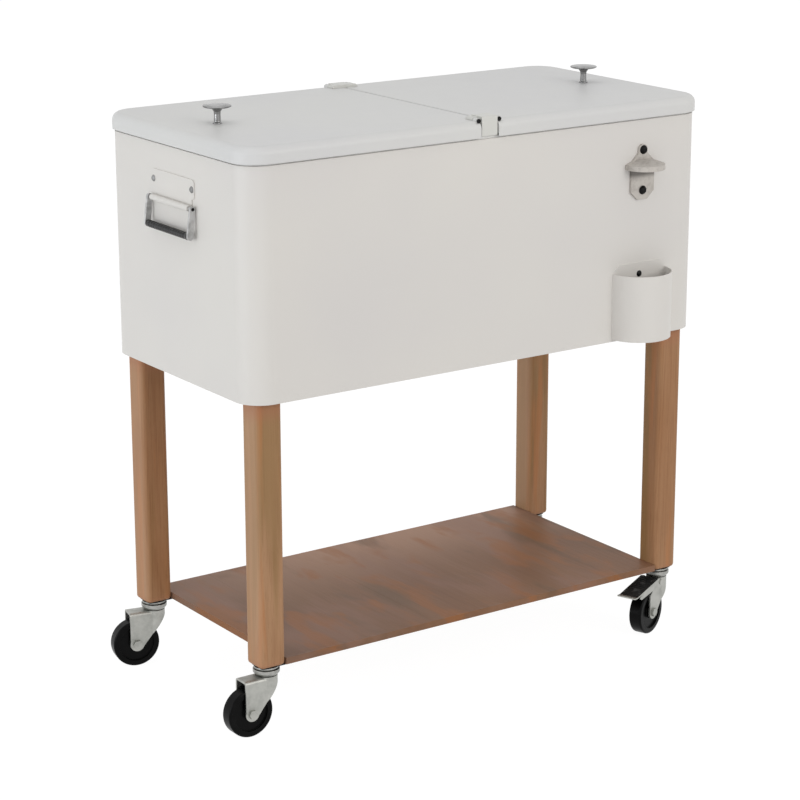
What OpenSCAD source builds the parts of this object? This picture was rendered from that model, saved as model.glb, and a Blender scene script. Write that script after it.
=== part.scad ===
// Rolling patio cooler: an insulated steel cabinet with two lids hinged in the middle,
// carried on four wooden legs with a shelf between them and swivel casters below.
// The origin is on the floor in the middle of the footprint. X runs along the cabinet,
// the bottle opener and the cap catcher face -Y, and +Z is up. Sizes are in millimetres.

/* [Cabinet] */
// Length of the steel cabinet
body_l = 800; // [700:5:900]
// Depth of the steel cabinet
body_w = 393; // [370:1:440]
// Height of the steel cabinet below the lid seam
body_h = 332; // [331:1:400]
// Radius of the upright cabinet corners
corner_r = 39.5; // [34:0.5:46]
// Thickness of the steel sheet
skin_t = 1; // [0.8:0.1:1.4]
// Thickness of the foam between the steel and the tank
foam_t = 25; // [22:1:30]
// Thickness of the foam below the tank
foam_floor_t = 20; // [15:1:30]
// Wall thickness of the moulded tank
liner_t = 2; // [1.5:0.5:3]
// Inner corner radius of the tank
tank_r = 15; // [12:0.5:24]
// Depth of the open skirt below the base panel
skirt_h = 10; // [8:1:16]

/* [Lids] */
// Height of a lid from its lower edge to its top
lid_h = 24; // [22:1:30]
// How far the lids stand out over the cabinet
lid_overhang = 3.5; // [2:0.5:5]
// Radius of the rounded top edge of the lids
lid_edge_r = 12; // [9:1:14]
// Gap between the two lids
lid_gap = 3; // [2:0.5:4]
// Depth of the plug that reaches into the tank, below the seam
plug_drop = 8; // [5:1:12]
// Distance of the knobs from the middle of the cabinet
knob_x = 327; // [200:1:340]
// Diameter of a knob
knob_d = 41; // [30:1:50]
// Height of a knob above the lid
knob_h = 27; // [22:1:34]

/* [Centre hinge] */
// Distance of each hinge pin from the middle of the cabinet
pin_x = 18; // [17.5:0.5:20]
// Diameter of the hinge pins
pin_d = 4; // [3:0.5:5]
// Width of the hinge blocks
block_w = 27; // [22:0.5:27]
// Height of the front hinge block above the lids
block_rise = 6; // [5:0.5:8]

/* [Legs and shelf] */
// Side of the square legs
leg_size = 41.7; // [36:0.1:46]
// Rounding of the long edges of the legs
leg_r = 8; // [3:0.5:10]
// Height of the legs that shows below the cabinet
leg_show_h = 390; // [300:5:450]
// Distance from the end of the cabinet to the outer face of a leg
leg_inset_l = 17.2; // [15:0.1:30]
// Distance from the front of the cabinet to the outer face of a leg
leg_inset_w = 13.2; // [11:0.1:30]
// Thickness of the shelf
shelf_t = 10; // [10:1:20]
// Number of boards that show in the shelf
shelf_boards = 8; // [4:1:12]

/* [Side handles] */
// Length of a handle plate
plate_l = 118; // [112:1:150]
// Distance between the arms of a handle
bail_l = 108; // [104:1:108]
// Diameter of the grip
grip_d = 10.5; // [8:0.5:14]
// Drop of the grip below the pivot
grip_drop = 38; // [30:1:60]
// Height of the pivot below the lid seam
pivot_drop = 78; // [70:1:120]

/* [Bottle opener and cap catcher] */
// Distance of the opener from the middle of the cabinet
opener_x = 281.4; // [-290:0.1:290]
// Height of the opener's upper screw below the lid seam
opener_drop = 45; // [30:1:80]
// Distance between the opener's two screws
opener_pitch = 60.5; // [56:0.5:70]
// Radius of the opener's hood
hood_r = 31; // [26:1:36]
// Distance of the catcher from the middle of the cabinet
catcher_x = 281.4; // [-290:0.1:290]
// Radius of the catcher's cup
catcher_r = 50; // [40:0.5:60]
// Height of the catcher's cup
catcher_h = 100; // [60:1:110]
// Depth of the catcher's rim below the lid seam
catcher_drop = 228; // [200:1:230]

/* [Casters] */
// Height of a caster from the floor to the top of its corner plate
caster_h = 102; // [96:1:120]
// Diameter of the wheels
wheel_d = 72; // [60:1:76]
// Width of the wheels
wheel_w = 21; // [16:1:24]
// Distance from the swivel axis back to the axle
trail = 32; // [28:1:36]
// Diameter of the axles
axle_d = 8; // [6:1:10]
// Diameter of the swivel stems
stem_d = 10; // [8:1:12]
// Direction in which the front left wheel trails, in degrees from +X
turn_front_left = 180; // [0:1:360]
// Direction in which the front right wheel trails
turn_front_right = 201; // [0:1:360]
// Direction in which the back left wheel trails
turn_back_left = 168; // [0:1:360]
// Direction in which the back right wheel trails
turn_back_right = 190; // [0:1:360]

/* [Hidden] */

$fn = 96;

// Gap between two pieces that lie together, and slack of a screw in its hole
fit = 0.2;
// Radial clearance of a pin or axle that turns in a bore
turn_fit = 0.06;
// Length by which a cut passes the face that it goes through
over = 1;

// Heights of the main planes above the floor
body_z = caster_h + leg_show_h;
seam_z = body_z + body_h;
rim_drop = 1.2;
flange_t = 3;
shell_top = seam_z - rim_drop;
flange_top = shell_top + flange_t;
lid_lift = 1.5;
lid_z = seam_z + lid_lift;
lid_top = lid_z + lid_h;
base_z = body_z + skirt_h;
base_t = 1;
foam_z = base_z + base_t;
tank_z = foam_z + foam_floor_t + liner_t;

// Plan sizes of the tank, and of the rims around its mouth
wall_t = skin_t + foam_t + liner_t;
tank_l = body_l - 2 * wall_t;
tank_w = body_w - 2 * wall_t;
rim_w = 12;
flange_inset = 3.5;
front_y = body_w / 2;

// Rail across the middle of the tank's mouth
rail_w = 72;
rail_t = 1.5;
rail_seat = 17;
rail_l = tank_w + 2 * rail_seat;
rail_lip = 14;

// Lids
lid_l = body_l + 2 * lid_overhang;
lid_w = body_w + 2 * lid_overhang;
lid_r = corner_r + lid_overhang;
lid_skin_t = 1.2;
lip_t = 4;
notch_end = 31;
notch_y = lid_w / 2 - notch_end;
wall_x = pin_x + 5.2;
knuckle_r = 4.2;
knuckle_y0 = lid_w / 2 - 13;
knuckle_y1 = lid_w / 2 - 4.7;
tab_x = block_w / 2 + 2;
gasket_t = 2;
gasket_lift = 0.3;
gasket_side = 16;
gasket_band = 8;
lid_floor = flange_top + gasket_lift + gasket_t;
lid_floor_t = 1.5;
plug_gap = 4;
plug_x0 = rail_w / 2 + plug_gap;
plug_x1 = tank_l / 2 - plug_gap;
plug_r = tank_r - plug_gap;

// Centre hinge blocks and pins
pin_r = pin_d / 2;
pin_head_r = 3.25;
pin_head_t = 2;
ear_r = 4.5;
ear_end_t = 2;
ear_y0 = notch_y + 2;
ear_y1 = knuckle_y0 - 0.5;
block_y1 = lid_w / 2 - 1.5;
block_foot_y = front_y - flange_inset;
block_foot_z = seam_z + 3.5;
block_edge_r = 3;

// Knobs
knob_stem_r = 4.75;
knob_rim_t = 3;
knob_bolt_r = 3;

// Legs, brackets, shelf and corner plates
leg_x = body_l / 2 - leg_inset_l - leg_size / 2;
leg_y = body_w / 2 - leg_inset_w - leg_size / 2;
leg_in_x = leg_x - leg_size / 2;
bracket_t = 3;
bracket_w = 34;
bracket_l = 34;
bracket_inset = 6;
lag_x = 10;
lag_l = 26;
lag_head_r = 4.5;
lag_head_t = 2;
leg_h = base_z - bracket_t - caster_h;
plate_t = 2;
plate_reach = 22;
plate_inset = 5;
groove_w = 1.6;
groove_d = 1;

// Screws
screw_r = 2.4;
screw_head_r = 5;
screw_head_t = 3;

// Side handles
handle_t = 1.5;
handle_top = 38;
handle_step = pivot_drop - 12;
screw_drop = 52;
screw_span = plate_l - 12;
barrel_r = 4.5;
barrel_x = body_l / 2 + 5.5;
barrel_l = bail_l - 4;
pivot_r = 2.5;
arm_t = 8;
arm_r = 5;
grip_x = body_l / 2 + 10;
grip_arm_r = 6;
grip_rod_r = 3;
pivot_z = seam_z - pivot_drop;
grip_z = pivot_z - grip_drop;

// Bottle opener
opener_t = 4.5;
opener_head_r = 6.8;
opener_head_t = 5;
opener_side = 21.7;
hood_reach = 7;
hood_top = 14;
hood_rim_top = 20.5;
hood_rim_low = 28;
hood_t = 4;
hood_mouth = 20;
hood_mouth_half = 22;
hood_mouth_h = 6.2;
hood_lip_t = 2.5;

// Cap catcher
sheet_t = 1.2;
catcher_rise = 12;
catcher_slope = 10;
catcher_screw_drop = 5;

// Drain
drain_x = 250;
drain_y = 90;
drain_r = 11;
drain_bore_r = 8;
drain_flange_r = 20;
drain_flange_t = 2;
sump_r = drain_flange_r + 0.4;
sump_z = tank_z - drain_flange_t - fit;
drain_end = body_z - 24;
cap_r = 15;
cap_h = 18;
nut_h = 9;

// Casters
wheel_r = wheel_d / 2;
axle_r = axle_d / 2;
stem_r = stem_d / 2;
fork_gap = wheel_w + 2;
fork_t = 2.5;
fork_out = fork_gap / 2 + fork_t;
cup_top = caster_h - plate_t;
cup_h = 14;
cup_r = 19.4;
ball_r = 2.5;
ball_ring_r = 12;
ball_count = 8;
ball_rise = 2.25;
groove_r = ball_r + 0.05;
fork_top = cup_top - cup_h;
ball_z = fork_top + ball_rise;
head_t = 3;
head_r = 16;
shoulder_r = 5;
heel_drop = 6;
boss_r = 11;
boss_lip = 0.5;
toe_x = trail + boss_r - boss_lip;
short_head_x = 16;
short_head_drop = 20;
rivet_r = 8;
rivet_t = 2.3;
stem_depth = 38;

// Brake pedal, in the plane of the wheel
pedal_x = 14;
pedal_z = fork_top - 5;
pedal_pin_r = 2.5;
pedal_gap = 0.3;
pedal_eye_r = 5;
pedal_side_t = 1.5;
pedal_side_l = 62;
pedal_side_h = 8;
pedal_l = 82;
pedal_lip = 8;
pedal_tread_t = 2;
pedal_start = [7, 7.3];
pedal_bend_z = -4.2;
pedal_tip_z = -3.5;
shoe_x = 20;
shoe_l = 12;
shoe_half = 9;
shoe_drop = 4;

// The footprint reaches from the front left wheel to the right handle along X,
// and from the catcher to the back edge of the lids along Y.
reach_left = leg_x + trail + wheel_r;
reach_right = grip_x + grip_arm_r;
reach_front = front_y + catcher_r;
reach_back = lid_w / 2;
cab_x = (reach_left - reach_right) / 2;
cab_y = (reach_front - reach_back) / 2;

// Colours
cream = [0.82, 0.80, 0.78];
tank_white = [0.90, 0.90, 0.89];
foam_yellow = [0.88, 0.80, 0.58];
wood = [0.60, 0.43, 0.30];
shelf_wood = [0.50, 0.38, 0.31];
zinc = [0.66, 0.66, 0.65];
chrome = [0.78, 0.78, 0.78];
black = [0.08, 0.08, 0.08];
grey = [0.45, 0.45, 0.45];

// Shared shapes

module cabinet() {
    translate([cab_x, cab_y, 0]) children();
}

module corner(sx, sy) {
    translate([cab_x + sx * leg_x, cab_y + sy * leg_y, 0]) children();
}

module each_corner() {
    for (sx = [-1, 1], sy = [-1, 1]) {
        translate([sx * leg_x, sy * leg_y, 0]) mirror([sx < 0 ? 1 : 0, 0, 0])
            mirror([0, sy < 0 ? 1 : 0, 0]) children();
    }
}

module plan(l, w, r) {
    square([l - 2 * r, w], center = true);
    square([l, w - 2 * r], center = true);
    for (sx = [-1, 1], sy = [-1, 1]) {
        translate([sx * (l / 2 - r), sy * (w / 2 - r)]) circle(r);
    }
}

module prism(l, w, h, r) {
    linear_extrude(h) plan(l, w, r);
}

module box(x, y, z) {
    translate([x[0], y[0], z[0]]) cube([x[1] - x[0], y[1] - y[0], z[1] - z[0]]);
}

module rod_x(r, x0, x1) {
    translate([x0, 0, 0]) rotate([0, 90, 0]) cylinder(r = r, h = x1 - x0);
}

module rod_y(r, y0, y1) {
    translate([0, y1, 0]) rotate([90, 0, 0]) cylinder(r = r, h = y1 - y0);
}

// A profile drawn in X and Z, given the length y0 to y1 along Y
module along_y(y0, y1) {
    translate([0, y1, 0]) rotate([90, 0, 0]) linear_extrude(y1 - y0) children();
}

// A profile drawn in Y and Z, given the length x0 to x1 along X
module along_x(x0, x1) {
    translate([x0, 0, 0]) rotate([90, 0, 90]) linear_extrude(x1 - x0) children();
}

// Half of a slab's section: square below, rounded at the top outer edge
module edge_section(half, h, e) {
    square([half, h - e]);
    square([half - e, h]);
    translate([half - e, h - e]) circle(e);
}

// A slab with rounded corners and a rounded top edge
module soft_slab(l, w, h, r, e) {
    for (side = [0, 1]) {
        mirror([side, 0, 0]) translate([0, w / 2 - r, 0]) rotate([90, 0, 0])
            linear_extrude(w - 2 * r) edge_section(l / 2, h, e);
        mirror([0, side, 0]) translate([-(l / 2 - r), 0, 0]) rotate([90, 0, 90])
            linear_extrude(l - 2 * r) edge_section(w / 2, h, e);
    }
    for (sx = [-1, 1], sy = [-1, 1]) {
        translate([sx * (l / 2 - r), sy * (w / 2 - r), 0])
            rotate_extrude() edge_section(r, h, e);
    }
}

// A screw along -Z with a domed head that sits on z = 0
module dome_screw(length, head_r = screw_head_r, head_t = screw_head_t) {
    dome_r = (head_r * head_r + head_t * head_t) / (2 * head_t);
    translate([0, 0, -length]) cylinder(r = screw_r, h = length + head_t / 2);
    difference() {
        intersection() {
            cylinder(r = head_r, h = head_t);
            translate([0, 0, head_t - dome_r]) sphere(dome_r);
        }
        translate([0, 0, head_t - 1]) cylinder(r = head_r * 0.35, h = 2, $fn = 6);
    }
}

// Point at which the line from p touches a circle, on the side given
function touch(p, c, r, side) =
    let (d = norm(p - c), a = atan2(p[1] - c[1], p[0] - c[0]) + side * acos(r / d))
    c + r * [cos(a), sin(a)];

// Screw positions on the walls, relative to the middle of the cabinet

module at_handle_screws(side) {
    for (sy = [-1, 1]) {
        translate([side * (body_l / 2), sy * screw_span / 2, seam_z - screw_drop])
            rotate([0, side * 90, 0]) children();
    }
}

module at_opener_screws() {
    for (drop = [opener_drop, opener_drop + opener_pitch]) {
        translate([opener_x, -front_y, seam_z - drop]) rotate([90, 0, 0]) children();
    }
}

module at_catcher_screw() {
    translate([catcher_x, -front_y, seam_z - catcher_drop - catcher_screw_drop])
        rotate([90, 0, 0]) children();
}

// Holes that the wall screws need in the shell and the foam
module wall_screw_holes(depth) {
    for (side = [-1, 1]) {
        at_handle_screws(side) translate([0, 0, -depth])
            cylinder(r = screw_r + fit, h = depth + over);
    }
    at_opener_screws() translate([0, 0, -depth])
        cylinder(r = screw_r + fit, h = depth + over);
    at_catcher_screw() translate([0, 0, -depth])
        cylinder(r = screw_r + fit, h = depth + over);
}

// Cabinet

module shell_inside(h, inset = 0) {
    prism(body_l - 2 * (skin_t + inset), body_w - 2 * (skin_t + inset), h,
        corner_r - skin_t - inset);
}

module outer_shell() {
    color(cream) cabinet() difference() {
        translate([0, 0, body_z]) prism(body_l, body_w, shell_top - body_z, corner_r);
        translate([0, 0, body_z - over]) shell_inside(shell_top - skin_t - body_z + over);
        translate([0, 0, body_z]) shell_inside(body_h + over, rim_w);
        wall_screw_holes(skin_t + over);
    }
}

module tank_liner() {
    color(tank_white) cabinet() difference() {
        union() {
            translate([0, 0, tank_z - liner_t])
                prism(tank_l + 2 * liner_t, tank_w + 2 * liner_t,
                    shell_top + over - tank_z + liner_t, tank_r + liner_t);
            translate([drain_x, drain_y, sump_z - liner_t])
                cylinder(r = sump_r + liner_t, h = tank_z - sump_z + over);
            translate([0, 0, shell_top])
                prism(body_l - 2 * flange_inset, body_w - 2 * flange_inset, flange_t,
                    corner_r - flange_inset);
        }
        translate([0, 0, tank_z]) prism(tank_l, tank_w, body_h, tank_r);
        translate([-rail_w / 2 - fit, -rail_l / 2 - fit, flange_top - rail_t])
            cube([rail_w + 2 * fit, rail_l + 2 * fit, rail_t + over]);
        translate([drain_x, drain_y, sump_z]) cylinder(r = sump_r, h = tank_z - sump_z + over);
        translate([drain_x, drain_y, sump_z - liner_t - over])
            cylinder(r = drain_r + fit, h = liner_t + 2 * over);
    }
}

module foam_core() {
    color(foam_yellow) cabinet() difference() {
        translate([0, 0, foam_z]) shell_inside(shell_top - skin_t - foam_z);
        translate([0, 0, tank_z - liner_t])
            prism(tank_l + 2 * liner_t, tank_w + 2 * liner_t, body_h, tank_r + liner_t);
        translate([drain_x, drain_y, sump_z - liner_t])
            cylinder(r = sump_r + liner_t, h = tank_z - sump_z + over);
        wall_screw_holes(wall_t - liner_t - 3);
        translate([drain_x, drain_y, foam_z - over])
            cylinder(r = drain_r + fit, h = foam_floor_t + 2 * over);
        each_corner() at_base_bolts() translate([0, 0, -over])
            cylinder(r = screw_r + fit, h = 16);
    }
}

module base_panel() {
    color(cream) cabinet() difference() {
        translate([0, 0, base_z]) shell_inside(base_t);
        translate([drain_x, drain_y, base_z - over])
            cylinder(r = drain_r + fit, h = base_t + 2 * over);
        each_corner() at_base_bolts() translate([0, 0, -over])
            cylinder(r = screw_r + fit, h = base_t + 4 * over);
    }
}

module center_rail() {
    color(cream) cabinet() {
        translate([0, 0, flange_top - rail_t / 2]) cube([rail_w, rail_l, rail_t], center = true);
        for (s = [-1, 1]) {
            translate([s * (rail_w - rail_t) / 2, 0, flange_top - rail_lip / 2])
                cube([rail_t, tank_w - 3, rail_lip], center = true);
        }
    }
}

// The hinge block at the front, which stands above the lids by the height given
module hinge_block(rise) {
    block_top = lid_top + rise;
    difference() {
        union() {
            translate([-block_w / 2, -block_y1, block_foot_z])
                cube([block_w, block_y1 - ear_y0, block_top - block_edge_r - block_foot_z]);
            translate([-block_w / 2, -block_y1 + block_edge_r, flange_top + over])
                cube([block_w, block_y1 - ear_y0 - 2 * block_edge_r,
                    block_top - flange_top - over]);
            translate([-block_w / 2, -block_foot_y, flange_top])
                cube([block_w, block_foot_y - ear_y0, block_rise]);
            for (y = [-block_y1 + block_edge_r, -ear_y0 - block_edge_r]) {
                translate([0, y, block_top - block_edge_r])
                    rod_x(block_edge_r, -block_w / 2, block_w / 2);
            }
            for (s = [-1, 1]) {
                translate([s * pin_x, 0, lid_top]) rod_y(ear_r, -ear_y1, -ear_y0);
            }
            translate([-pin_x, -ear_y1, lid_top - ear_r])
                cube([2 * pin_x, ear_y1 - ear_y0, 2 * ear_r]);
        }
        for (s = [-1, 1]) {
            translate([s * pin_x, 0, lid_top])
                rod_y(pin_r + turn_fit / 2, -ear_y1 - over, -ear_y0 - ear_end_t);
        }
    }
}

module front_hinge_block() {
    color(cream) cabinet() hinge_block(block_rise);
}

module back_hinge_block() {
    color(cream) cabinet() mirror([0, 1, 0]) hinge_block(ear_r);
}

module hinge_pins() {
    color(black) cabinet() for (s = [-1, 1], side = [0, 1]) {
        mirror([0, side, 0]) translate([s * pin_x, 0, lid_top]) {
            rod_y(pin_r, -knuckle_y1 - fit - pin_head_t / 2, -ear_y0 - ear_end_t - over);
            rod_y(pin_head_r, -knuckle_y1 - fit - pin_head_t, -knuckle_y1 - fit);
        }
    }
}

// Drain

module drain_spout() {
    color(tank_white) cabinet() translate([drain_x, drain_y, 0]) difference() {
        union() {
            translate([0, 0, drain_end]) cylinder(r = drain_r, h = sump_z + over - drain_end);
            translate([0, 0, sump_z]) cylinder(r = drain_flange_r, h = drain_flange_t);
        }
        translate([0, 0, drain_end - over])
            cylinder(r = drain_bore_r, h = tank_z - drain_end + 4 * over);
    }
}

module drain_nut() {
    color(tank_white) cabinet() translate([drain_x, drain_y, base_z - nut_h]) difference() {
        cylinder(r = drain_r + 8, h = nut_h, $fn = 6);
        translate([0, 0, -over]) cylinder(r = drain_r + turn_fit, h = nut_h + 2 * over);
    }
}

module drain_cap() {
    color(black) cabinet() translate([drain_x, drain_y, drain_end - 4]) difference() {
        cylinder(r = cap_r, h = cap_h);
        translate([0, 0, 3]) cylinder(r = drain_r + turn_fit, h = cap_h);
        for (i = [0:11]) {
            rotate([0, 0, 30 * i]) translate([cap_r + 0.6, 0, 4]) cylinder(r = 1.6, h = cap_h, $fn = 24);
        }
    }
}

// Legs, brackets and shelf

// Positions of the bolts that go up into the base panel, in one leg's own corner
module at_base_bolts() {
    for (y = [-1, 1]) {
        translate([-leg_size / 2 - bracket_l / 2, y * bracket_w * 0.28, base_z]) children();
    }
}

// Positions of the countersunk screws that go down into the leg's end grain
module at_lag_screws() {
    for (x = [-lag_x, lag_x]) {
        translate([x, 0, base_z]) children();
    }
}

module leg() {
    difference() {
        translate([0, 0, caster_h]) prism(leg_size, leg_size, leg_h, leg_r);
        translate([0, 0, caster_h - over])
            cylinder(r = stem_r + turn_fit, h = stem_depth + 2 * over);
        at_lag_screws() translate([0, 0, -bracket_t - lag_l])
            cylinder(r = screw_r + fit, h = lag_l + over);
    }
}

module at_leg(sx, sy) {
    corner(sx, sy) mirror([sx < 0 ? 1 : 0, 0, 0]) mirror([0, sy < 0 ? 1 : 0, 0]) leg();
}

module front_left_leg() {
    color(wood) at_leg(-1, -1);
}

module front_right_leg() {
    color(wood) at_leg(1, -1);
}

module back_left_leg() {
    color(wood) at_leg(-1, 1);
}

module back_right_leg() {
    color(wood) at_leg(1, 1);
}

// Steel plates between the legs and the base panel, hidden by the cabinet's skirt
module leg_brackets() {
    color(grey) cabinet() each_corner() difference() {
        box([-leg_size / 2 - bracket_l, leg_size / 2 - bracket_inset],
            [-bracket_w / 2, bracket_w / 2], [base_z - bracket_t, base_z]);
        at_base_bolts() translate([0, 0, -bracket_t - over])
            cylinder(r = screw_r + fit, h = bracket_t + 2 * over);
        at_lag_screws() {
            translate([0, 0, -bracket_t - over])
                cylinder(r = screw_r + fit, h = bracket_t + 2 * over);
            translate([0, 0, -lag_head_t - fit]) cylinder(r = lag_head_r + fit, h = lag_head_t + over);
        }
    }
}

module leg_bolts() {
    color(zinc) cabinet() each_corner() {
        at_base_bolts() translate([0, 0, -bracket_t]) rotate([180, 0, 0]) dome_screw(14);
        at_lag_screws() {
            translate([0, 0, -bracket_t - lag_l + over]) cylinder(r = screw_r, h = lag_l);
            translate([0, 0, -lag_head_t - fit]) cylinder(r = lag_head_r, h = lag_head_t);
        }
    }
}

module shelf() {
    shelf_l = 2 * leg_in_x - 2 * fit;
    shelf_w = 2 * leg_y + leg_size;
    pitch = shelf_l / shelf_boards;
    color(shelf_wood) cabinet() translate([0, 0, caster_h]) difference() {
        translate([0, 0, shelf_t / 2]) cube([shelf_l, shelf_w, shelf_t], center = true);
        for (i = [1:shelf_boards - 1]) {
            translate([-shelf_l / 2 + i * pitch - groove_w / 2, -shelf_w / 2 - over,
                shelf_t - groove_d]) cube([groove_w, shelf_w + 2 * over, groove_d + over]);
        }
        at_plate_screws() translate([0, 0, -over])
            cylinder(r = 1.6 + fit, h = shelf_t - 1 + over);
    }
}

module at_plate_screws() {
    for (sx = [-1, 1], sy = [-1, 1], k = [-1, 1]) {
        translate([sx * (leg_in_x - plate_reach * 0.6), sy * leg_y + k * leg_size * 0.26, 0])
            children();
    }
}

module corner_plates() {
    color(black) cabinet() translate([0, 0, caster_h - plate_t]) difference() {
        each_corner() translate([-(plate_reach + plate_inset) / 2, 0, 0])
            prism(leg_size + plate_reach - plate_inset, leg_size - 2 * plate_inset, plate_t, 4);
        each_corner() translate([0, 0, -over])
            cylinder(r = stem_r + turn_fit, h = plate_t + 2 * over);
        at_plate_screws() translate([0, 0, -over])
            cylinder(r = 1.6 + fit, h = plate_t + 2 * over);
    }
}

module plate_screws() {
    color(black) cabinet() translate([0, 0, caster_h - plate_t]) at_plate_screws() {
        cylinder(r = 1.6, h = plate_t + shelf_t - 2);
        translate([0, 0, -1.8]) cylinder(r1 = 2.4, r2 = 3.5, h = 1.8);
    }
}

// Side handles, drawn for the right end of the cabinet

module handle_plate() {
    difference() {
        union() {
            translate([body_l / 2, 0, seam_z]) rotate([0, 90, 0]) rotate([0, 0, -90])
                linear_extrude(handle_t) {
                    translate([0, (handle_top + handle_step) / 2])
                        plan(plate_l, handle_step - handle_top, 6);
                    translate([0, (handle_step + pivot_drop) / 2 - 4])
                        square([barrel_l, pivot_drop - handle_step + 8], center = true);
                }
            translate([barrel_x, 0, pivot_z]) rod_y(barrel_r, -barrel_l / 2, barrel_l / 2);
        }
        translate([barrel_x, 0, pivot_z])
            rod_y(pivot_r, -barrel_l / 2 - over, barrel_l / 2 + over);
        at_handle_screws(1) translate([0, 0, -over])
            cylinder(r = screw_r + fit, h = handle_t + 2 * over);
    }
}

module bail() {
    pivot = [barrel_x, pivot_z];
    low = [grip_x, grip_z];
    for (side = [0, 1]) {
        mirror([0, side, 0]) along_y(bail_l / 2, bail_l / 2 + arm_t) {
            translate(pivot) circle(arm_r);
            translate(low) circle(grip_arm_r);
            polygon([
                touch(low, pivot, arm_r, 1), touch(pivot, low, grip_arm_r, -1),
                touch(pivot, low, grip_arm_r, 1), touch(low, pivot, arm_r, -1)
            ]);
        }
    }
    translate([barrel_x, 0, pivot_z])
        rod_y(pivot_r - turn_fit, -bail_l / 2 - over, bail_l / 2 + over);
    translate([grip_x, 0, grip_z]) rod_y(grip_rod_r, -bail_l / 2 - over, bail_l / 2 + over);
}

module grip() {
    translate([grip_x, 0, grip_z]) difference() {
        rod_y(grip_d / 2, -bail_l / 2 + fit, bail_l / 2 - fit);
        rod_y(grip_rod_r + turn_fit, -bail_l / 2 - over, bail_l / 2 + over);
    }
}

module left_handle_plate() {
    color(cream) cabinet() mirror([1, 0, 0]) handle_plate();
}

module right_handle_plate() {
    color(cream) cabinet() handle_plate();
}

module handle_screws() {
    color(grey) cabinet() for (side = [-1, 1]) {
        at_handle_screws(side) translate([0, 0, handle_t]) dome_screw(18);
    }
}

module left_bail() {
    color(chrome) cabinet() mirror([1, 0, 0]) bail();
}

module right_bail() {
    color(chrome) cabinet() bail();
}

module left_grip() {
    color(black) cabinet() mirror([1, 0, 0]) grip();
}

module right_grip() {
    color(black) cabinet() grip();
}

// Bottle opener and cap catcher

// Section of the opener's hood, below its upper screw
module hood_section(r, top, rim_top) {
    polygon([[0, -hood_rim_low], [r, -hood_rim_low], [r, -rim_top],
        [r * 0.42, -top], [0, -top]]);
}

module hood(r, top, rim_top) {
    translate([0, -hood_reach, 0]) rotate_extrude() hood_section(r, top, rim_top);
    for (side = [0, 1]) {
        mirror([side, 0, 0]) along_y(-hood_reach, over) hood_section(r, top, rim_top);
    }
}

module bottle_opener() {
    low = opener_pitch + 14;
    half = opener_side;
    color(zinc) cabinet() translate([opener_x, -front_y, seam_z - opener_drop])
        difference() {
            union() {
                along_y(-opener_t, 0) {
                    circle(8);
                    polygon([[-8, 0], [8, 0], [8, -5], [half, -hood_top - 4],
                        [half, -low + 12], [9, -low], [-9, -low], [-half, -low + 12],
                        [-half, -hood_top - 4], [-8, -5]]);
                }
                difference() {
                    hood(hood_r, hood_top, hood_rim_top);
                    translate([0, 0, -hood_t / 2]) intersection() {
                        hood(hood_r - hood_t, hood_top, hood_rim_top);
                        box([-hood_r, hood_r], [-hood_reach - hood_r, over],
                            [-hood_rim_low + hood_lip_t + hood_t / 2, 0]);
                    }
                    box([-hood_mouth_half, hood_mouth_half],
                        [-opener_t - hood_mouth, over],
                        [-hood_rim_low - over, -hood_rim_low + hood_mouth_h]);
                }
            }
            box([-2 * hood_r, 2 * hood_r], [0, 2 * hood_r], [-2 * low, low]);
            for (z = [0, -opener_pitch]) {
                translate([0, 0, z]) rod_y(screw_r + fit, -opener_t - over, over);
            }
        }
}

module opener_screws() {
    color(black) cabinet() at_opener_screws() translate([0, 0, opener_t])
        dome_screw(20, opener_head_r, opener_head_t);
}

module cap_catcher() {
    color(cream) cabinet() translate([catcher_x, -front_y, seam_z - catcher_drop])
        difference() {
            union() {
                along_y(-sheet_t, 0) polygon([
                    [-catcher_r, -catcher_h], [catcher_r, -catcher_h], [catcher_r, 0],
                    [catcher_r - catcher_slope, catcher_rise],
                    [-catcher_r + catcher_slope, catcher_rise], [-catcher_r, 0]
                ]);
                translate([0, 0, -catcher_h]) difference() {
                    cylinder(r = catcher_r, h = catcher_h);
                    translate([0, 0, sheet_t]) cylinder(r = catcher_r - sheet_t, h = catcher_h);
                    translate([-catcher_r - over, 0, -over])
                        cube([2 * catcher_r + 2 * over, catcher_r + over, catcher_h + 2 * over]);
                }
            }
            translate([0, 0, -catcher_screw_drop]) rod_y(screw_r + fit, -sheet_t - over, over);
        }
}

module catcher_screw() {
    color(black) cabinet() at_catcher_screw() translate([0, 0, sheet_t]) dome_screw(18);
}

// Lids, drawn for the right half of the cabinet

module lid_form(inset, drop) {
    translate([0, 0, lid_z - drop]) soft_slab(lid_l - 2 * inset, lid_w - 2 * inset,
        lid_h + drop - inset, lid_r - inset, lid_edge_r - inset);
}

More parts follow.
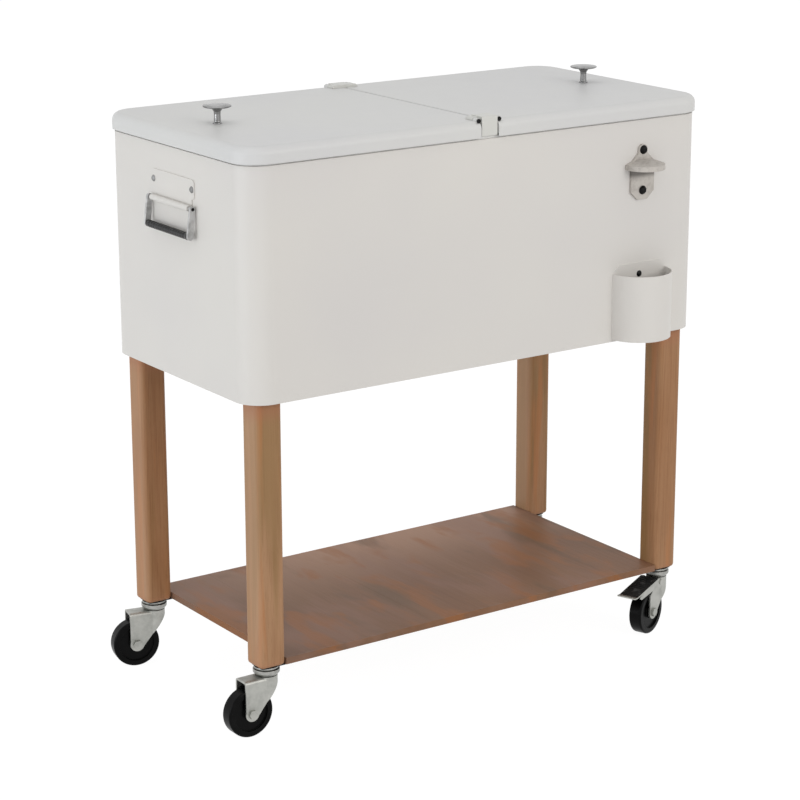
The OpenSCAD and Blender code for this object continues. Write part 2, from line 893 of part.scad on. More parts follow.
module lid_skin() {
    far = lid_l / 2 + over;
    side = lid_w / 2 + over;
    difference() {
        union() {
            difference() {
                lid_form(0, 0);
                box([-far, wall_x], [-side, side], [lid_z - over, lid_top + over]);
                difference() {
                    lid_form(lid_skin_t, over);
                    box([-far, wall_x + lid_skin_t], [-side, side],
                        [lid_z - 2 * over, lid_top + over]);
                }
                box([wall_x - over, wall_x + lid_skin_t + over],
                    [-lid_w / 2 + lid_skin_t, lid_w / 2 - lid_skin_t],
                    [lid_z - over, flange_top + 0.5]);
            }
            difference() {
                box([lid_gap / 2, wall_x + lid_skin_t / 2], [-notch_y, notch_y],
                    [lid_top - lip_t, lid_top]);
                box([lid_gap / 2 + lid_skin_t, wall_x],
                    [-notch_y + lid_skin_t, notch_y - lid_skin_t],
                    [lid_top - lip_t - over, lid_top - lid_skin_t]);
            }
            for (end = [0, 1]) {
                mirror([0, end, 0]) hinge_lug();
            }
        }
        for (end = [0, 1]) {
            mirror([0, end, 0]) translate([pin_x, 0, lid_top])
                rod_y(pin_r + turn_fit, -knuckle_y1 - over, -knuckle_y0 + over);
        }
        translate([knob_x, 0, lid_top - 2 * lid_skin_t])
            cylinder(r = knob_bolt_r + fit, h = 4 * lid_skin_t);
    }
}

// The part of the lid that carries one hinge knuckle
module hinge_lug() {
    reach = wall_x + lid_skin_t / 2;
    intersection() {
        lid_form(0, 0);
        union() {
            box([tab_x, reach], [-lid_w / 2, -lid_w / 2 + lid_skin_t],
                [lid_z, lid_top - lip_t]);
            box([tab_x, reach], [-lid_w / 2 + lid_skin_t / 2, -knuckle_y0],
                [lid_z + 4.5, lid_top - lip_t]);
            box([tab_x, reach], [-knuckle_y1, -knuckle_y0], [lid_z + 4.5, lid_top - 2.5]);
            box([pin_x, reach], [-knuckle_y1, -knuckle_y0], [lid_z + 4.5, lid_top]);
        }
    }
    translate([pin_x, 0, lid_top]) rod_y(knuckle_r, -knuckle_y1, -knuckle_y0);
}

module plug_form(inset, z0, z1) {
    l = plug_x1 - plug_x0 - 2 * inset;
    translate([(plug_x0 + plug_x1) / 2, 0, z0])
        prism(l, tank_w - 2 * plug_gap - 2 * inset, z1 - z0, plug_r - inset);
}

module lid_liner() {
    inset = lid_skin_t + 0.3;
    difference() {
        union() {
            difference() {
                translate([0, 0, lid_floor])
                    prism(lid_l - 2 * inset, lid_w - 2 * inset, lid_floor_t, lid_r - inset);
                box([-lid_l, wall_x + lid_skin_t + 0.3], [-lid_w, lid_w],
                    [lid_floor - over, lid_floor + 2 * over + lid_floor_t]);
            }
            plug_form(0, seam_z - plug_drop, lid_floor + lid_floor_t);
        }
        plug_form(lid_floor_t, seam_z - plug_drop + lid_floor_t,
            lid_floor + lid_floor_t + over);
    }
}

module lid_foam() {
    low = lid_floor + lid_floor_t;
    difference() {
        union() {
            difference() {
                lid_form(lid_skin_t + fit, 0);
                box([-lid_l, wall_x + lid_skin_t + fit], [-lid_w, lid_w],
                    [lid_z - over, lid_top + over]);
                box([-lid_l, lid_l], [-lid_w, lid_w], [lid_z - over, low]);
            }
            plug_form(lid_floor_t + fit, seam_z - plug_drop + lid_floor_t, low + over);
        }
        translate([knob_x, 0, lid_top - 11]) cylinder(r = 9, h = 11);
    }
}

module lid_gasket() {
    x0 = wall_x + lid_skin_t + 1.6;
    x1 = lid_l / 2 - gasket_side;
    w = lid_w - 2 * gasket_side;
    translate([(x0 + x1) / 2, 0, flange_top + gasket_lift]) difference() {
        prism(x1 - x0, w, gasket_t, 28);
        translate([0, 0, -over])
            prism(x1 - x0 - 2 * gasket_band, w - 2 * gasket_band, gasket_t + 2 * over, 20);
    }
}

module knob() {
    r = knob_d / 2;
    translate([knob_x, 0, lid_top]) difference() {
        rotate_extrude() {
            square([knob_stem_r, knob_h - knob_rim_t]);
            square([6.5, 1.8]);
            polygon([[0, knob_h - 9], [knob_stem_r, knob_h - 9], [8, knob_h - 5.5],
                [r - 2, knob_h - knob_rim_t - 1], [r - 0.5, knob_h - knob_rim_t],
                [r, knob_h - 2.2], [r - 0.6, knob_h - 1.2], [r * 0.6, knob_h - 0.4],
                [0, knob_h]]);
        }
        translate([0, 0, -over]) cylinder(r = knob_bolt_r + turn_fit, h = 13 + over);
    }
}

module knob_bolt() {
    translate([knob_x, 0, lid_top - lid_skin_t]) {
        translate([0, 0, -3]) cylinder(r = knob_bolt_r, h = 3 + lid_skin_t + 12);
        translate([0, 0, -1.2]) cylinder(r = 7.5, h = 1.2);
        translate([0, 0, -5.2]) cylinder(r = 5.5, h = 4.2, $fn = 6);
    }
}

module left_lid_skin() {
    color(cream) cabinet() mirror([1, 0, 0]) lid_skin();
}

module left_lid_foam() {
    color(foam_yellow) cabinet() mirror([1, 0, 0]) lid_foam();
}

module left_lid_liner() {
    color(tank_white) cabinet() mirror([1, 0, 0]) lid_liner();
}

module left_lid_gasket() {
    color(grey) cabinet() mirror([1, 0, 0]) lid_gasket();
}

module left_knob() {
    color(chrome) cabinet() mirror([1, 0, 0]) knob();
}

module left_knob_bolt() {
    color(zinc) cabinet() mirror([1, 0, 0]) knob_bolt();
}

module right_lid_skin() {
    color(cream) cabinet() lid_skin();
}

module right_lid_foam() {
    color(foam_yellow) cabinet() lid_foam();
}

module right_lid_liner() {
    color(tank_white) cabinet() lid_liner();
}

module right_lid_gasket() {
    color(grey) cabinet() lid_gasket();
}

module right_knob() {
    color(chrome) cabinet() knob();
}

module right_knob_bolt() {
    color(zinc) cabinet() knob_bolt();
}

// Casters, drawn with the wheel trailing along +X from the swivel axis

module ball_groove() {
    translate([0, 0, ball_z]) rotate_extrude() translate([ball_ring_r, 0]) circle(groove_r);
}

// Section of the upper race: a flange under the leg, and a cup that covers the balls
module race_section() {
    race_z = ball_z + ball_rise;
    polygon([
        [0, race_z], [cup_r - 2, race_z], [cup_r - 4.9, fork_top + 1], [cup_r - 3.4, fork_top + 1],
        [cup_r, race_z + 0.5], [cup_r, cup_top - 4], [cup_r - 5, cup_top - 4],
        [cup_r - 5, cup_top - 2.5], [cup_r - 1.5, cup_top - 2.5], [cup_r - 1.5, cup_top],
        [0, cup_top]
    ]);
}

module stem() {
    low = fork_top - head_t - fit - rivet_t;
    difference() {
        union() {
            translate([0, 0, low + fit]) cylinder(r = stem_r, h = caster_h + stem_depth - low - fit);
            translate([0, 0, low]) cylinder(r = rivet_r, h = rivet_t);
            rotate_extrude() race_section();
        }
        ball_groove();
    }
}

module caster_stems() {
    color(zinc) cabinet() each_corner() stem();
}

module swivel_balls() {
    color(chrome) cabinet() each_corner() for (i = [0:ball_count - 1]) {
        rotate([0, 0, i * 360 / ball_count]) translate([ball_ring_r, 0, ball_z])
            sphere(ball_r, $fn = 32);
    }
}

// Side view of a fork: its slanted leading edge starts at the heel, and a braked fork
// has a short head that leaves room for the pedal's tread
module fork_side(braked) {
    axle = [trail, wheel_r];
    heel = [-head_r - over, fork_top - heel_drop];
    head_end = braked ? [[short_head_x, fork_top + over], [toe_x, fork_top - short_head_drop]]
        : [[toe_x, fork_top + over]];
    polygon(concat([heel, [heel[0], fork_top + over]], head_end,
        [[toe_x, wheel_r], touch(heel, axle, boss_r - boss_lip, 1)]));
}

// A channel with rounded shoulders, joined to a round head on the swivel axis
module fork_form(r, half, top, edge, end) {
    along_x(0, end) {
        translate([-half, 0]) square([2 * half, top - edge]);
        translate([-half + edge, 0]) square([2 * (half - edge), top]);
        for (s = [-1, 1]) {
            translate([s * (half - edge), top - edge]) circle(edge);
        }
    }
    cylinder(r = r, h = top);
}

module fork(braked) {
    difference() {
        union() {
            intersection() {
                along_y(-head_r - over, head_r + over) fork_side(braked);
                fork_form(head_r, fork_out, fork_top, shoulder_r, toe_x + over);
            }
            translate([trail, 0, wheel_r]) rod_y(boss_r, -fork_out, fork_out);
        }
        fork_form(head_r - fork_t, fork_gap / 2, fork_top - head_t, shoulder_r - fork_t,
            toe_x + 2 * over);
        translate([0, 0, fork_top - head_t - over])
            cylinder(r = stem_r + turn_fit, h = head_t + 2 * over);
        ball_groove();
        translate([trail, 0, wheel_r]) rod_y(axle_r + turn_fit, -fork_out - over, fork_out + over);
        if (braked) {
            translate([pedal_x, 0, pedal_z])
                rod_y(pedal_pin_r + turn_fit, -fork_out - over, fork_out + over);
        }
    }
}

module axle() {
    translate([trail, 0, wheel_r]) {
        rod_y(axle_r, -fork_out - 4, fork_out + 3);
        translate([0, -fork_out, 0]) rotate([90, 0, 0]) cylinder(r = 7, h = 3.5, $fn = 6);
        translate([0, fork_out + 3.5, 0]) rotate([90, 0, 0]) cylinder(r = 7, h = 3.5, $fn = 6);
    }
}

// Section of half a wheel: radius along X, width along Y
module wheel_section() {
    half = wheel_w / 2;
    edge = 3;
    square([11, fork_gap / 2 - fit]);
    square([wheel_r - edge, half - 4]);
    translate([wheel_r - 9, 0]) square([9 - edge, half]);
    square([wheel_r, half - edge]);
    translate([wheel_r - edge, half - edge]) circle(edge);
}

module wheel() {
    translate([trail, 0, wheel_r]) rotate([90, 0, 0]) difference() {
        rotate_extrude() {
            wheel_section();
            mirror([0, 1]) wheel_section();
        }
        cylinder(r = axle_r + turn_fit, h = 2 * wheel_w, center = true);
    }
}

module brake_pedal() {
    out = fork_out + pedal_gap;
    tread_down = [0, -pedal_tread_t];
    start = pedal_start;
    bend = [pedal_l - pedal_lip, pedal_bend_z];
    tip = [pedal_l, pedal_tip_z];
    translate([pedal_x, 0, pedal_z]) {
        along_y(-out - pedal_side_t, out + pedal_side_t) polygon([
            start, bend, tip, tip + tread_down, bend + tread_down, start + tread_down
        ]);
        for (side = [0, 1]) {
            mirror([0, side, 0]) {
                along_y(out, out + pedal_side_t) {
                    circle(pedal_eye_r);
                    polygon([
                        [0, pedal_eye_r], start, [pedal_side_l, -2],
                        [pedal_side_l + 1.5, -2 - pedal_side_h], [pedal_side_l - 2, -4 - pedal_side_h],
                        [0, -pedal_eye_r]
                    ]);
                }
                rod_y(4, out + pedal_side_t / 2, out + pedal_side_t + 1.5);
            }
        }
        rod_y(pedal_pin_r, -out - over, out + over);
        box([shoe_x, shoe_x + shoe_l], [-shoe_half, shoe_half], [-shoe_drop, 2.5]);
    }
}

module front_left_fork() {
    color(zinc) corner(-1, -1) rotate([0, 0, turn_front_left]) fork(false);
}

module front_left_axle() {
    color(chrome) corner(-1, -1) rotate([0, 0, turn_front_left]) axle();
}

module front_left_wheel() {
    color(black) corner(-1, -1) rotate([0, 0, turn_front_left]) wheel();
}

module front_right_fork() {
    color(zinc) corner(1, -1) rotate([0, 0, turn_front_right]) fork(true);
}

module front_right_axle() {
    color(chrome) corner(1, -1) rotate([0, 0, turn_front_right]) axle();
}

module front_right_wheel() {
    color(black) corner(1, -1) rotate([0, 0, turn_front_right]) wheel();
}

module front_right_brake_pedal() {
    color(grey) corner(1, -1) rotate([0, 0, turn_front_right]) brake_pedal();
}

module back_left_fork() {
    color(zinc) corner(-1, 1) rotate([0, 0, turn_back_left]) fork(false);
}

module back_left_axle() {
    color(chrome) corner(-1, 1) rotate([0, 0, turn_back_left]) axle();
}

module back_left_wheel() {
    color(black) corner(-1, 1) rotate([0, 0, turn_back_left]) wheel();
}

module back_right_fork() {
    color(zinc) corner(1, 1) rotate([0, 0, turn_back_right]) fork(true);
}

module back_right_axle() {
    color(chrome) corner(1, 1) rotate([0, 0, turn_back_right]) axle();
}

module back_right_wheel() {
    color(black) corner(1, 1) rotate([0, 0, turn_back_right]) wheel();
}

module back_right_brake_pedal() {
    color(grey) corner(1, 1) rotate([0, 0, turn_back_right]) brake_pedal();
}

outer_shell();
tank_liner();
foam_core();
base_panel();
center_rail();
front_hinge_block();
back_hinge_block();
hinge_pins();
drain_spout();
drain_nut();
front_left_leg();
front_right_leg();
back_left_leg();
back_right_leg();
leg_brackets();
leg_bolts();
shelf();
corner_plates();
plate_screws();
left_handle_plate();
right_handle_plate();
handle_screws();
bottle_opener();
opener_screws();
cap_catcher();
catcher_screw();
caster_stems();
swivel_balls();
left_bail();
left_grip();
right_bail();
right_grip();
drain_cap();
left_lid_skin();
left_lid_foam();
left_lid_liner();
left_lid_gasket();
left_knob();
left_knob_bolt();
right_lid_skin();
right_lid_foam();
right_lid_liner();
right_lid_gasket();
right_knob();
right_knob_bolt();
front_left_fork();
front_left_axle();
front_left_wheel();
front_right_fork();
front_right_axle();
front_right_wheel();
front_right_brake_pedal();
back_left_fork();
back_left_axle();
back_left_wheel();
back_right_fork();
back_right_axle();
back_right_wheel();
back_right_brake_pedal();
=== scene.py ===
"""A rolling patio cooler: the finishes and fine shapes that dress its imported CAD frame."""

import math
import random

import bmesh
import bpy
from mathutils import Matrix, Vector


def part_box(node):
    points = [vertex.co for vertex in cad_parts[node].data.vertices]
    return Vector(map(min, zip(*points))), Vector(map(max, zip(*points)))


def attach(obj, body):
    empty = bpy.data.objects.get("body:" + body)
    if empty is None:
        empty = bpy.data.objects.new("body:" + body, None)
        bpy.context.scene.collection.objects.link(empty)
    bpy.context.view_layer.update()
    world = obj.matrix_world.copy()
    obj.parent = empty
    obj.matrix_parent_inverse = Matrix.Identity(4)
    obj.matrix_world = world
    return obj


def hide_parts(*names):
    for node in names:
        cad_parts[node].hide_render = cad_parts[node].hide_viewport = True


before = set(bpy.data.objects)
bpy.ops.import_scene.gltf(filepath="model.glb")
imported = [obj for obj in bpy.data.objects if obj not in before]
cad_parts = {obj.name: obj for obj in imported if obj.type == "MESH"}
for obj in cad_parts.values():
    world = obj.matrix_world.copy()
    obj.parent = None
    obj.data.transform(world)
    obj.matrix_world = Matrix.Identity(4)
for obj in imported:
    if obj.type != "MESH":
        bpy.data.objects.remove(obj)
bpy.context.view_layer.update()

# ---------------------------------------------------------------------------------
# Studio: the camera where the photograph was taken, a pale floor that keeps a faint
# shadow, and soft light from the left, the front, above and all round.

CAMERA_PLACE = Vector((-2.0799, -2.97035, 1.4294))
YAW, PITCH, ROLL = map(math.radians, (34.654, 15.840, -0.117))
FOCAL_LENGTH, SENSOR_WIDTH, CLIP_END = 112.3, 36.0, 400.0
FLOOR_HALF = 60.0
FLOOR_GLOW, GLOW_SHARE = 1.12, 0.86
AMBIENT = 0.55
MIDDLE = (0, 0, 0.55)
# name, place, aimed at, width, height, watts, colour
LAMPS = (
    ("left_soft_box", (-3.3, 0.15, 0.80), MIDDLE, 2.2, 1.8, 33.5, (0.935, 0.97, 1.0)),
    ("front_soft_box", (0.7, -3.5, 2.0), MIDDLE, 2.6, 2.0, 41.5, (1.0, 0.975, 0.945)),
    ("top_soft_box", (-0.6, -0.3, 3.0), MIDDLE, 2.4, 2.0, 7.8, (1, 1, 1)),
    ("front_strip", (-1.1, -2.6, 0.40), (-0.2, 0.0, 0.30), 0.10, 0.7, 1.5, (1, 1, 1)),
)


class Wire:
    """A socket in a material. Arithmetic on it adds Math nodes, and node() adds any other."""

    def __init__(self, owner, socket=None):
        self.owner, self.socket = owner, socket

    def node(self, kind, settings=None, inputs=None, out=0):
        """Adds a node of any kind, with its settings and its sockets' values or links."""
        tree = self.owner.node_tree
        made = tree.nodes.new("ShaderNode" + kind)
        for name, value in (settings or {}).items():
            setattr(made, name, value)
        for name, value in (inputs or {}).items():
            if isinstance(value, Wire):
                tree.links.new(value.socket, made.inputs[name])
            else:
                made.inputs[name].default_value = value
        return Wire(self.owner, made.outputs[out] if made.outputs else None)

    def math(self, operation, first, second=0.0):
        return self.node("Math", {"operation": operation}, {0: first, 1: second})

    def __add__(self, other):
        return self.math("ADD", self, other)

    def __sub__(self, other):
        return self.math("SUBTRACT", self, other)

    def __rsub__(self, other):
        return self.math("SUBTRACT", other, self)

    def __mul__(self, other):
        return self.math("MULTIPLY", self, other)

    __radd__ = __add__
    __rmul__ = __mul__

    def clamped(self):
        return self.node("Clamp", {}, {"Value": self})

    def between(self, low, high):
        """0 below low, 1 above high, and smooth between."""
        return self.node("MapRange", {"interpolation_type": "SMOOTHSTEP"},
                         {"Value": self, "From Min": low, "From Max": high})

    def blend(self, first, second):
        """This factor's mix of two colours."""
        return self.node("Mix", {"data_type": "RGBA"}, {0: self, 6: first, 7: second}, out=2)

    def along(self, axis):
        """One coordinate of a place: 0 is X, 1 is Y and 2 is Z."""
        return self.node("SeparateXYZ", {}, {"Vector": self}, out=axis)

    def marked(self, attribute):
        """The value that the mesh gives its faces under this name."""
        return self.node("Attribute", {"attribute_name": attribute}, out="Fac")


def tone(red, green, blue):
    """A colour as it is seen on screen, 0 to 255, as the linear values that a shader takes."""
    return tuple(((c / 255 + 0.055) / 1.055) ** 2.4 for c in (red, green, blue)) + (1.0,)


def grey(level):
    return tone(level, level, level)


def placed(name, data):
    made = bpy.data.objects.new(name, data)
    bpy.context.scene.collection.objects.link(made)
    return made


forward = Vector((math.sin(YAW) * math.cos(PITCH), math.cos(YAW) * math.cos(PITCH),
                  -math.sin(PITCH)))
level_right = Vector((math.cos(YAW), -math.sin(YAW), 0))
level_up = level_right.cross(forward)
right = math.cos(ROLL) * level_right + math.sin(ROLL) * level_up
up = math.cos(ROLL) * level_up - math.sin(ROLL) * level_right
lens = bpy.data.cameras.new("camera")
lens.lens, lens.sensor_width, lens.clip_end = FOCAL_LENGTH, SENSOR_WIDTH, CLIP_END
camera = placed("camera", lens)
camera.matrix_world = Matrix.Translation(CAMERA_PLACE) @ Matrix(
    (right, up, -forward)).transposed().to_4x4()
bpy.context.scene.camera = camera
bpy.context.scene.view_settings.view_transform = "Standard"


def blank(name):
    """A new material with nothing in it, ready for its first node."""
    material = bpy.data.materials.new(name)
    material.use_nodes = True
    material.node_tree.nodes.clear()
    return Wire(material)


def seen(wire):
    """1 for rays from the camera, or from it by way of metal or glass."""
    camera_ray, glossy_ray, glass_ray = (wire.node("LightPath", out="Is " + kind + " Ray")
                                         for kind in ("Camera", "Glossy", "Transmission"))
    return (camera_ray + glossy_ray + glass_ray).clamped()


paper = blank("floor_paper")
fibre = paper.node("TexNoise", {}, {"Vector": paper.node("TexCoord", out="Object"),
                                    "Scale": 90.0})
dull = paper.node("BsdfDiffuse", {}, {"Color": fibre.blend(grey(232), grey(236))})
glow = paper.node("Emission", {}, {"Color": (1, 1, 1, 1), "Strength": FLOOR_GLOW})
paper.node("OutputMaterial", {}, {"Surface": paper.node(
    "MixShader", {}, {0: seen(paper) * GLOW_SHARE, 1: dull, 2: glow})})
flat = bmesh.new()
bmesh.ops.create_grid(flat, x_segments=2, y_segments=2, size=FLOOR_HALF)
floor_mesh = bpy.data.meshes.new("floor")
flat.to_mesh(floor_mesh)
floor_mesh.materials.append(paper.owner)
placed("floor", floor_mesh)

world = bpy.data.worlds.new("studio")
world.use_nodes = True
world.node_tree.nodes.clear()
sky = Wire(world)
backdrop = seen(sky)
sky.node("OutputWorld", {}, {"Surface": sky.node("Background", {}, {
    "Color": (1, 1, 1, 1), "Strength": backdrop + (1 - backdrop) * AMBIENT})})
bpy.context.scene.world = world

for name, place, target, width, height, watts, colour in LAMPS:
    light = bpy.data.lights.new(name, "AREA")
    light.shape, light.size, light.size_y = "RECTANGLE", width, height
    light.energy, light.color = watts, colour
    lamp = placed(name, light)
    lamp.location = place
    lamp.rotation_euler = (Vector(target) - Vector(place)).to_track_quat("-Z", "Y").to_euler()

# ---------------------------------------------------------------------------------
# Cabinet shell, base panel and rail: deep-drawn steel sheet, folded and welded, with
# a satin baked coat that shows a faint orange peel and a slow drift of tone.

SMOOTH_ANGLE = 38.0
NEAR = 1e-4  # two places this close count as one
WORN_COAT = tone(196, 191, 184)
shell_lo, shell_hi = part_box("outer_shell")


def begin(name):
    """Starts a material and gives the place on the piece that its patterns follow."""
    return blank(name).node("TexCoord", out="Object")


def finish(place, color, roughness, relief, strength, depth, metallic=0.0, fixed=None):
    """Closes a material. relief is the height that its Bump node reads, depth is how deep
    it is in metres, and fixed holds the sockets that are the same all over the surface."""
    bump = place.node("Bump", {}, {"Height": relief, "Strength": strength, "Distance": depth})
    surface = place.node("BsdfPrincipled", {}, {
        "Base Color": color, "Roughness": roughness, "Metallic": metallic, "Normal": bump,
        **(fixed or {})})
    place.node("OutputMaterial", {}, {"Surface": surface})
    return place.owner


def noise(place, scale, detail=3.0, roughness=0.5, stretch=None, warp=0.0):
    if stretch is not None:
        place = place.node("VectorMath", {"operation": "MULTIPLY"}, {0: place, 1: stretch})
    return place.node("TexNoise", {}, {"Vector": place, "Scale": scale, "Detail": detail,
                                       "Roughness": roughness, "Distortion": warp})


def edge_mask(place):
    """1 on the broken edges of a piece, in a patchy way, and 0 on its faces."""
    return place.marked("broken_edge") * noise(place, 260.0).between(0.42, 0.66)


def painted(name, base, shade, worn=WORN_COAT):
    place = begin(name)
    drift = noise(place, 3.2, detail=2.0).between(0.3, 0.72)
    specks = noise(place, 950.0, detail=1.0).between(0.70, 0.78)
    peel = noise(place, 620.0, detail=2.0)
    film = noise(place, 42.0, detail=4.0)
    coat = drift.blend(base, shade)
    coat = (specks * 0.10).blend(coat, worn)
    coat = (edge_mask(place) * 0.12).blend(coat, worn)
    return finish(place, coat, 0.42 + film * 0.12 + specks * 0.1, peel, 0.10, 0.0003,
                  fixed={"Coat Weight": 0.16, "Coat Roughness": 0.28, "IOR": 1.46})


cream_coat = painted("cream_coat", tone(220, 217, 212), tone(216, 213, 210),
                     tone(196, 190, 181))
# The lids' cream paint again, painted greyer and a shade darker for the lid tops, which take
# less light.
shaded_lid_coat = painted("shaded_lid_coat", tone(215, 215, 213), tone(212, 212, 212))


def piece(name, bm, material, body, slot, *nodes):
    """Makes the piece from a mesh under construction, and gives it its finish and its body.
    Its shading is rounded, but its flat faces stay flat and its corners crisp."""
    bmesh.ops.recalc_face_normals(bm, faces=bm.faces)
    mesh = bpy.data.meshes.new(name)
    bm.to_mesh(mesh)
    bm.free()
    mesh.materials.append(material)
    mesh.shade_smooth()
    mesh.set_sharp_from_angle(angle=math.radians(SMOOTH_ANGLE))
    made = placed(name, mesh)
    made.modifiers.new("weighted_normal", "WEIGHTED_NORMAL").keep_sharp = True
    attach(made, body)
    if nodes:
        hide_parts(*nodes)
    return made


def solids_of(node):
    """The node's mesh with its triangles joined into whole faces."""
    bm = bmesh.new()
    bm.from_mesh(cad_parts[node].data)
    bmesh.ops.remove_doubles(bm, verts=bm.verts, dist=2e-6)
    bmesh.ops.dissolve_limit(bm, angle_limit=math.radians(0.5), verts=bm.verts,
                             edges=bm.edges, use_dissolve_boundaries=False)
    return bm


def break_edges(bm, width, steps=2, angle=30.0, where=None):
    """Rounds the corners sharper than angle, all of them or those at which where says so."""
    rim = bm.faces.layers.float.get("broken_edge") or bm.faces.layers.float.new("broken_edge")
    corners = [e for e in bm.edges if len(e.link_faces) == 2
               and e.calc_face_angle() > math.radians(angle)
               and (where is None or where(e))]
    if corners:
        made = bmesh.ops.bevel(bm, geom=corners, offset=width, offset_type="OFFSET",
                               segments=steps, profile=0.5, affect="EDGES",
                               clamp_overlap=True, loop_slide=True)
        for face in made["faces"]:
            face[rim] = 1.0


def softened(name, node, material, body, slot, edge, steps=2):
    """The CAD node again, with its corners rounded by this much."""
    bm = solids_of(node)
    break_edges(bm, edge, steps)
    return piece(name, bm, material, body, slot, node)


def level_at(edge, height):
    """Whether an edge lies level at this height."""
    return all(abs(v.co.z - height) < NEAR for v in edge.verts)


softened("shell_sheet", "outer_shell", cream_coat, "cabinet", "cream_paint", edge=0.0004)
softened("base_sheet", "base_panel", cream_coat, "cabinet", "cream_paint", edge=0.0003)
softened("mouth_rail", "center_rail", cream_coat, "cabinet", "cream_paint", edge=0.0005)

# ---------------------------------------------------------------------------------
# Tank and drain: one vacuum-formed plastic tank with filleted corners, a spout with
# its nut, and a ribbed black cap. The foam round the tank was poured in place.

TANK_FLOOR = 0.0042
FLOOR_FILLET = 0.012
SUMP_REACH = Vector((0.3, 0.15))  # the sump lies nearer to the tank's middle than this

place = begin("tank_plastic")
matte = noise(place, 300.0)
tank_plastic = finish(
    place, noise(place, 5.0).blend(grey(236), tone(231, 231, 227)), 0.36 + matte * 0.16,
    matte, 0.12, 0.0003, fixed={"Subsurface Weight": 0.05, "Subsurface Scale": 1.0,
                                "Subsurface Radius": (0.004, 0.004, 0.003)})
tank_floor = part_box("tank_liner")[0].z + TANK_FLOOR
tank_middle = (shell_lo + shell_hi) / 2


def on_floor_rim(edge):
    """The edges round the tank's floor, but not those of its sump."""
    return level_at(edge, tank_floor) and (
        max(abs(v.co.x - tank_middle.x) for v in edge.verts) > SUMP_REACH.x
        or max(abs(v.co.y - tank_middle.y) for v in edge.verts) > SUMP_REACH.y)


tank = solids_of("tank_liner")
break_edges(tank, FLOOR_FILLET, steps=6, angle=60.0, where=on_floor_rim)
break_edges(tank, 0.0006, angle=50.0)
piece("tank", tank, tank_plastic, "cabinet", "tank_plastic", "tank_liner")

place = begin("poured_foam")
cells = place.node("TexVoronoi", {}, {"Vector": place, "Scale": 420.0})
poured_foam = finish(place, noise(place, 14.0).blend(tone(238, 222, 170), tone(224, 203, 146)),
                     0.9, cells, 0.5, 0.0006)
softened("cabinet_foam", "foam_core", poured_foam, "cabinet", "foam", edge=0.0005)
softened("spout", "drain_spout", tank_plastic, "cabinet", "tank_plastic", edge=0.0006)
softened("spout_nut", "drain_nut", tank_plastic, "cabinet", "tank_plastic", edge=0.0006)


def moulded_black(name, base, sheen, rough, shine):
    place = begin(name)
    # Lighter mottling: partly dust and partly a painted sheen of light caught on the surface;
    # the broken edges take the same lighter tone.
    dust_and_sheen = noise(place, 55.0, detail=5.0, roughness=0.6).between(0.48, 0.8)
    texture = noise(place, 1400.0, detail=2.0)
    color = (dust_and_sheen * 0.35).blend(base, sheen)
    color = (edge_mask(place) * 0.4).blend(color, sheen)
    return finish(place, color, rough + dust_and_sheen * 0.2, texture, 0.15, 0.0002,
                  fixed={"Specular IOR Level": shine})


grip_black = moulded_black("grip_black", grey(8), grey(80), rough=0.20, shine=0.35)
softened("spout_cap", "drain_cap", grip_black, "drain_cap", "grip_plastic", edge=0.0005)

# ---------------------------------------------------------------------------------
# Centre hinge: two painted blocks welded to the rail, and four dark pins with domed
# heads on which the lids swing.

block_coat = painted("block_coat", tone(213, 213, 208), tone(210, 210, 206))
softened("front_block", "front_hinge_block", block_coat, "cabinet", "cream_paint",
         edge=0.0014, steps=3)
softened("back_block", "back_hinge_block", block_coat, "cabinet", "cream_paint",
         edge=0.0020, steps=3)


def blackened(name, base, worn):
    place = begin(name)
    film = noise(place, 500.0)
    color = (noise(place, 90.0).between(0.5, 0.75) * 0.4).blend(base, worn)
    color = (edge_mask(place) * 0.6).blend(color, worn)
    return finish(place, color, 0.34 + film * 0.22, film, 0.1, 0.0002, metallic=0.3,
                  fixed={"Specular IOR Level": 0.2})


black_oxide = blackened("black_oxide", grey(12), grey(58))
softened("pins", "hinge_pins", black_oxide, "cabinet", "dark_steel", edge=0.0007, steps=3)

# ---------------------------------------------------------------------------------
# Lids: a pressed skin with a rounded edge over foam, a moulded underside with a plug,
# and a ribbed rubber gasket round it.

SEAM_ROUND = 0.0020
TOP_BAND = 0.006  # the skin's flat top lies within this of its highest point
PLUG_ROUND = 0.005
GASKET_HALF = 0.004
GASKET_CORNER = 0.024

place = begin("gasket_rubber")
gasket_rubber = finish(place, noise(place, 30.0).blend(grey(84), grey(70)), 0.62,
                       noise(place, 900.0), 0.15, 0.0002)


def rounded_rectangle(x0, x1, y0, y1, radius, steps=14):
    """Points round a rectangle with rounded corners, with the outward direction at each."""
    points = []
    for k, (cx, cy) in enumerate(((x1 - radius, y1 - radius), (x0 + radius, y1 - radius),
                                  (x0 + radius, y0 + radius), (x1 - radius, y0 + radius))):
        for i in range(steps + 1):
            a = math.radians(90 * k + 90 * i / steps)
            out = Vector((math.cos(a), math.sin(a), 0))
            points.append((Vector((cx, cy, 0)) + out * radius, out))
    return points


def swept(bm, path, section):
    """Carries a closed section, as (outward, up) pairs, round a closed path."""
    rings = [[bm.verts.new(point + out * u + Vector((0, 0, v))) for u, v in section]
             for point, out in path]
    for ring, following in zip(rings, rings[1:] + rings[:1]):
        for i, vert in enumerate(ring):
            j = (i + 1) % len(ring)
            bm.faces.new((vert, following[i], following[j], ring[j]))


def gasket_section(half, height, ribs=3, steps=6):
    """A flat back with rounded ribs on the sealing side."""
    section = [(-half, height), (half, height)]
    rib = 2 * half / ribs
    for k in range(ribs):
        for i in range(steps + 1):
            a = math.pi * i / steps
            section.append((half - rib * (k + 0.5 - 0.5 * math.cos(a)),
                            0.55 * height - 0.55 * height * math.sin(a)))
    return section


